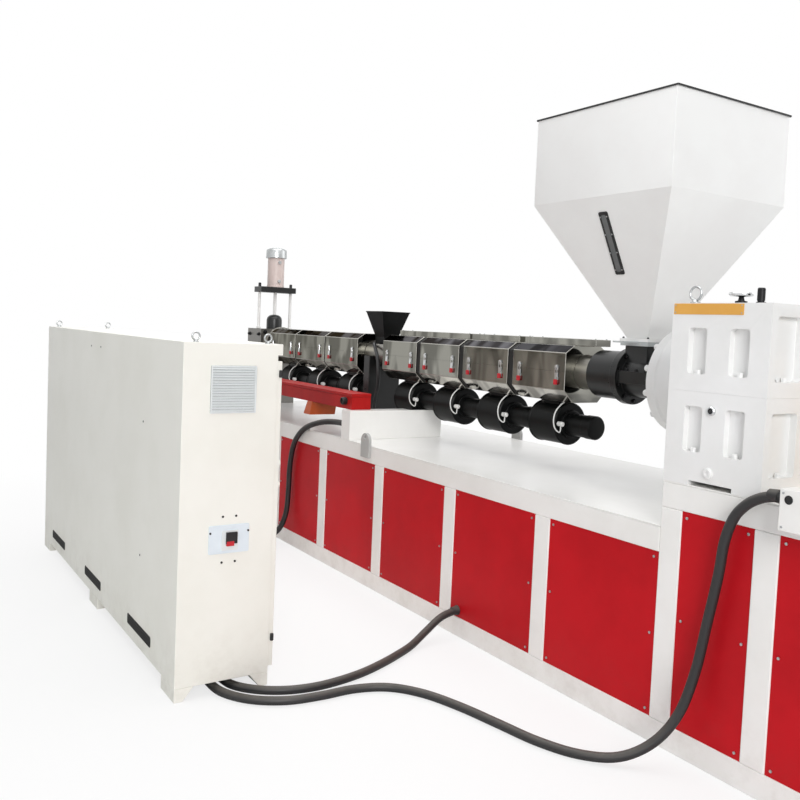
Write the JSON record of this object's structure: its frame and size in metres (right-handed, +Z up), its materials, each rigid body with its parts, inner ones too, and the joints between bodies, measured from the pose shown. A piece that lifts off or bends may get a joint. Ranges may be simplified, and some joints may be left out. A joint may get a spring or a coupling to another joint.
{
  "type": "plastic extruder with power cabinet",
  "caption": "Single-screw plastic extruder on a panelled steel bed, with hopper, heater zones, blowers, screen changer, gearbox, motor and a free-standing power cabinet on its cables.",
  "frame": {"origin": "on the floor under the screw's axis, at the middle of the bottom cross member beside the hopper", "axes": "+X along the screw from the die end to the motor end, +Y away from the power cabinet, +Z up"},
  "size_m": [7.289, 2.74, 2.665],
  "materials": {
    "frame_paint": "white gloss enamel",
    "panel_paint": "red gloss powder coat",
    "lug_steel": "pale grey paint",
    "machine_paint": "white gloss enamel on castings",
    "fitting_steel": "zinc plated steel",
    "throat_black": "black paint",
    "barrel_steel": "ground alloy steel",
    "insulation_black": "black insulation wrap",
    "cover_stainless": "mirror polished stainless sheet",
    "blower_black": "black gloss paint",
    "hopper_paint": "white powder coat",
    "trunking_red": "red powder coat",
    "outlet_orange": "orange powder coat",
    "changer_steel": "machined steel",
    "rod_white": "white paint",
    "ram_paint": "grey paint",
    "motor_paint": "pale grey enamel on cast iron",
    "guard_paint": "yellow paint",
    "gland_plastic": "black nylon",
    "cabinet_paint": "warm white textured powder coat",
    "grille_plastic": "grey moulded plastic",
    "switch_plate": "pale plastic plate",
    "cable_rubber": "black cable sheath"
  },
  "bodies": {
    "root": {"frame_bottom_rails": "frame_paint", "frame_top_rails": "frame_paint", "frame_posts": "frame_paint", "frame_cross_members": "frame_paint", "bed_plate": "frame_paint", "drive_deck": "frame_paint", "front_panels": "panel_paint", "back_panels": "panel_paint", "end_panels": "panel_paint", "lifting_lugs": "lug_steel", "gearbox": "machine_paint", "thrust_housing": "machine_paint", "terminal_box": "machine_paint", "motor_junction_box": "machine_paint", "gearbox_fittings": "fitting_steel", "cabinet_eye_bolts": "fitting_steel", "feed_throat": "throat_black", "barrel_support": "throat_black", "vent_funnel": "throat_black", "changer_plate": "throat_black", "barrel": "barrel_steel", "hopper_gate": "barrel_steel", "insulation_bands": "insulation_black", "heater_cover_1": "cover_stainless", "heater_cover_2": "cover_stainless", "heater_cover_3": "cover_stainless", "heater_cover_4": "cover_stainless", "heater_cover_5": "cover_stainless", "heater_cover_6": "cover_stainless", "heater_cover_7": "cover_stainless", "terminal_covers": "cover_stainless", "blower_1": "blower_black", "blower_2": "blower_black", "blower_3": "blower_black", "blower_4": "blower_black", "blower_5": "blower_black", "blower_6": "blower_black", "blower_7": "blower_black", "hopper_bin": "hopper_paint", "hopper_cone": "hopper_paint", "cable_trunking": "trunking_red", "trunking_foot": "trunking_red", "outlet_box": "outlet_orange", "screen_changer": "changer_steel", "changer_rods": "rod_white", "changer_cylinder": "ram_paint", "main_motor": "motor_paint", "coupling_guard": "guard_paint", "cable_glands": "gland_plastic", "cabinet_body": "cabinet_paint", "cabinet_roof": "cabinet_paint", "cabinet_doors": "cabinet_paint", "cabinet_feet": "cabinet_paint", "cabinet_grille": "grille_plastic", "cabinet_switch": "switch_plate", "motor_cable": "cable_rubber", "heater_cable": "cable_rubber", "control_cable": "cable_rubber"}
  },
  "joints": []
}
